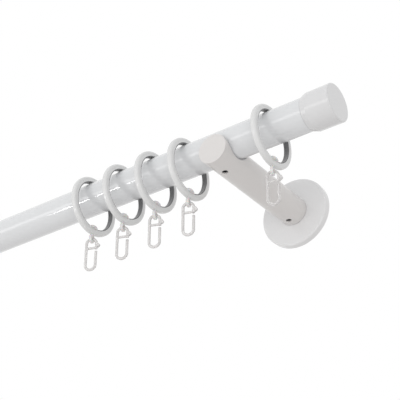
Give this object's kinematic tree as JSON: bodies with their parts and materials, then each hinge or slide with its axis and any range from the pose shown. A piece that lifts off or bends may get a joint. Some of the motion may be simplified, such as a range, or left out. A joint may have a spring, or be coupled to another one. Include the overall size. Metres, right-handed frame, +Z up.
{
  "type": "curtain rod",
  "caption": "White round curtain rod with end caps, round-arm wall brackets that cradle the tube, and sliding rings with swivel eyelets and clear snap hooks.",
  "frame": {"origin": "centre of the right wall plate's back face, at the mouth of its stud hole", "axes": "+X along the rod to the right-hand cap, +Y into the wall, +Z up"},
  "size_m": [1, 0.1371, 0.0911],
  "materials": {
    "tube_white": "gloss white lacquer",
    "cap_white": "gloss white lacquer",
    "arm_white": "satin white lacquer",
    "plate_white": "satin white lacquer",
    "screw_steel": "dark steel",
    "ring_white": "smooth moulded white",
    "insert_grey": "smooth grey",
    "eyelet_white": "smooth moulded white",
    "hook_clear": "milky clear"
  },
  "bodies": {
    "rod_and_brackets": {"rod_tube": "tube_white", "end_cap_right": "cap_white", "end_cap_left": "cap_white", "bracket_arm_right": "arm_white", "bracket_arm_left": "arm_white", "wall_plate_right": "plate_white", "wall_plate_left": "plate_white", "clamp_screw_right": "screw_steel", "clamp_screw_left": "screw_steel", "arm_screw_right": "screw_steel", "arm_screw_left": "screw_steel"},
    "ring_body_1": {"curtain_ring_1": "ring_white", "glide_insert_1": "insert_grey"},
    "eyelet_body_1": {"eyelet_1": "eyelet_white"},
    "hook_body_1": {"hook_1": "hook_clear"},
    "ring_body_2": {"curtain_ring_2": "ring_white", "glide_insert_2": "insert_grey"},
    "eyelet_body_2": {"eyelet_2": "eyelet_white"},
    "hook_body_2": {"hook_2": "hook_clear"},
    "ring_body_3": {"curtain_ring_3": "ring_white", "glide_insert_3": "insert_grey"},
    "eyelet_body_3": {"eyelet_3": "eyelet_white"},
    "hook_body_3": {"hook_3": "hook_clear"},
    "ring_body_4": {"curtain_ring_4": "ring_white", "glide_insert_4": "insert_grey"},
    "eyelet_body_4": {"eyelet_4": "eyelet_white"},
    "hook_body_4": {"hook_4": "hook_clear"},
    "ring_body_5": {"curtain_ring_5": "ring_white", "glide_insert_5": "insert_grey"},
    "eyelet_body_5": {"eyelet_5": "eyelet_white"},
    "hook_body_5": {"hook_5": "hook_clear"},
    "ring_body_6": {"curtain_ring_6": "ring_white", "glide_insert_6": "insert_grey"},
    "eyelet_body_6": {"eyelet_6": "eyelet_white"},
    "hook_body_6": {"hook_6": "hook_clear"}
  },
  "joints": [
    {"name": "ring_slide_1", "type": "slide", "parent": "rod_and_brackets", "child": "ring_body_1", "axis": [1, 0, 0], "range_m": [-0.028, 0.0315]},
    {"name": "eyelet_swivel_1", "type": "hinge", "parent": "ring_body_1", "child": "eyelet_body_1", "pos_m": [0.044, -0.11, -0.0284], "axis": [0, 0, 1], "continuous": true},
    {"name": "hook_swing_1", "type": "hinge", "parent": "eyelet_body_1", "child": "hook_body_1", "pos_m": [0.044, -0.11, -0.0288], "axis": [0.9397, 0.342, 0], "range_deg": [-75, 75]},
    {"name": "ring_slide_2", "type": "slide", "parent": "rod_and_brackets", "child": "ring_body_2", "axis": [1, 0, 0], "range_m": [-0.0205, 0.02]},
    {"name": "eyelet_swivel_2", "type": "hinge", "parent": "ring_body_2", "child": "eyelet_body_2", "pos_m": [-0.036, -0.11, -0.0284], "axis": [0, 0, 1], "continuous": true},
    {"name": "hook_swing_2", "type": "hinge", "parent": "eyelet_body_2", "child": "hook_body_2", "pos_m": [-0.036, -0.11, -0.0288], "axis": [0.9397, 0.342, 0], "range_deg": [-75, 75]},
    {"name": "ring_slide_3", "type": "slide", "parent": "rod_and_brackets", "child": "ring_body_3", "axis": [1, 0, 0], "range_m": [-0.0205, 0.0205]},
    {"name": "eyelet_swivel_3", "type": "hinge", "parent": "ring_body_3", "child": "eyelet_body_3", "pos_m": [-0.07, -0.11, -0.0284], "axis": [0, 0, 1], "continuous": true},
    {"name": "hook_swing_3", "type": "hinge", "parent": "eyelet_body_3", "child": "hook_body_3", "pos_m": [-0.07, -0.11, -0.0288], "axis": [0.9397, 0.342, 0], "range_deg": [-75, 75]},
    {"name": "ring_slide_4", "type": "slide", "parent": "rod_and_brackets", "child": "ring_body_4", "axis": [1, 0, 0], "range_m": [-0.0205, 0.0205]},
    {"name": "eyelet_swivel_4", "type": "hinge", "parent": "ring_body_4", "child": "eyelet_body_4", "pos_m": [-0.104, -0.11, -0.0284], "axis": [0, 0, 1], "continuous": true},
    {"name": "hook_swing_4", "type": "hinge", "parent": "eyelet_body_4", "child": "hook_body_4", "pos_m": [-0.104, -0.11, -0.0288], "axis": [0.9397, 0.342, 0], "range_deg": [-75, 75]},
    {"name": "ring_slide_5", "type": "slide", "parent": "rod_and_brackets", "child": "ring_body_5", "axis": [1, 0, 0], "range_m": [-0.638, 0.0205]},
    {"name": "eyelet_swivel_5", "type": "hinge", "parent": "ring_body_5", "child": "eyelet_body_5", "pos_m": [-0.138, -0.11, -0.0284], "axis": [0, 0, 1], "continuous": true},
    {"name": "hook_swing_5", "type": "hinge", "parent": "eyelet_body_5", "child": "hook_body_5", "pos_m": [-0.138, -0.11, -0.0288], "axis": [0.9397, 0.342, 0], "range_deg": [-75, 75]},
    {"name": "ring_slide_6", "type": "slide", "parent": "rod_and_brackets", "child": "ring_body_6", "axis": [1, 0, 0], "range_m": [-0.0315, 0.028]},
    {"name": "eyelet_swivel_6", "type": "hinge", "parent": "ring_body_6", "child": "eyelet_body_6", "pos_m": [-0.836, -0.11, -0.0284], "axis": [0, 0, 1], "continuous": true},
    {"name": "hook_swing_6", "type": "hinge", "parent": "eyelet_body_6", "child": "hook_body_6", "pos_m": [-0.836, -0.11, -0.0288], "axis": [0.9397, 0.342, 0], "range_deg": [-75, 75]}
  ]
}
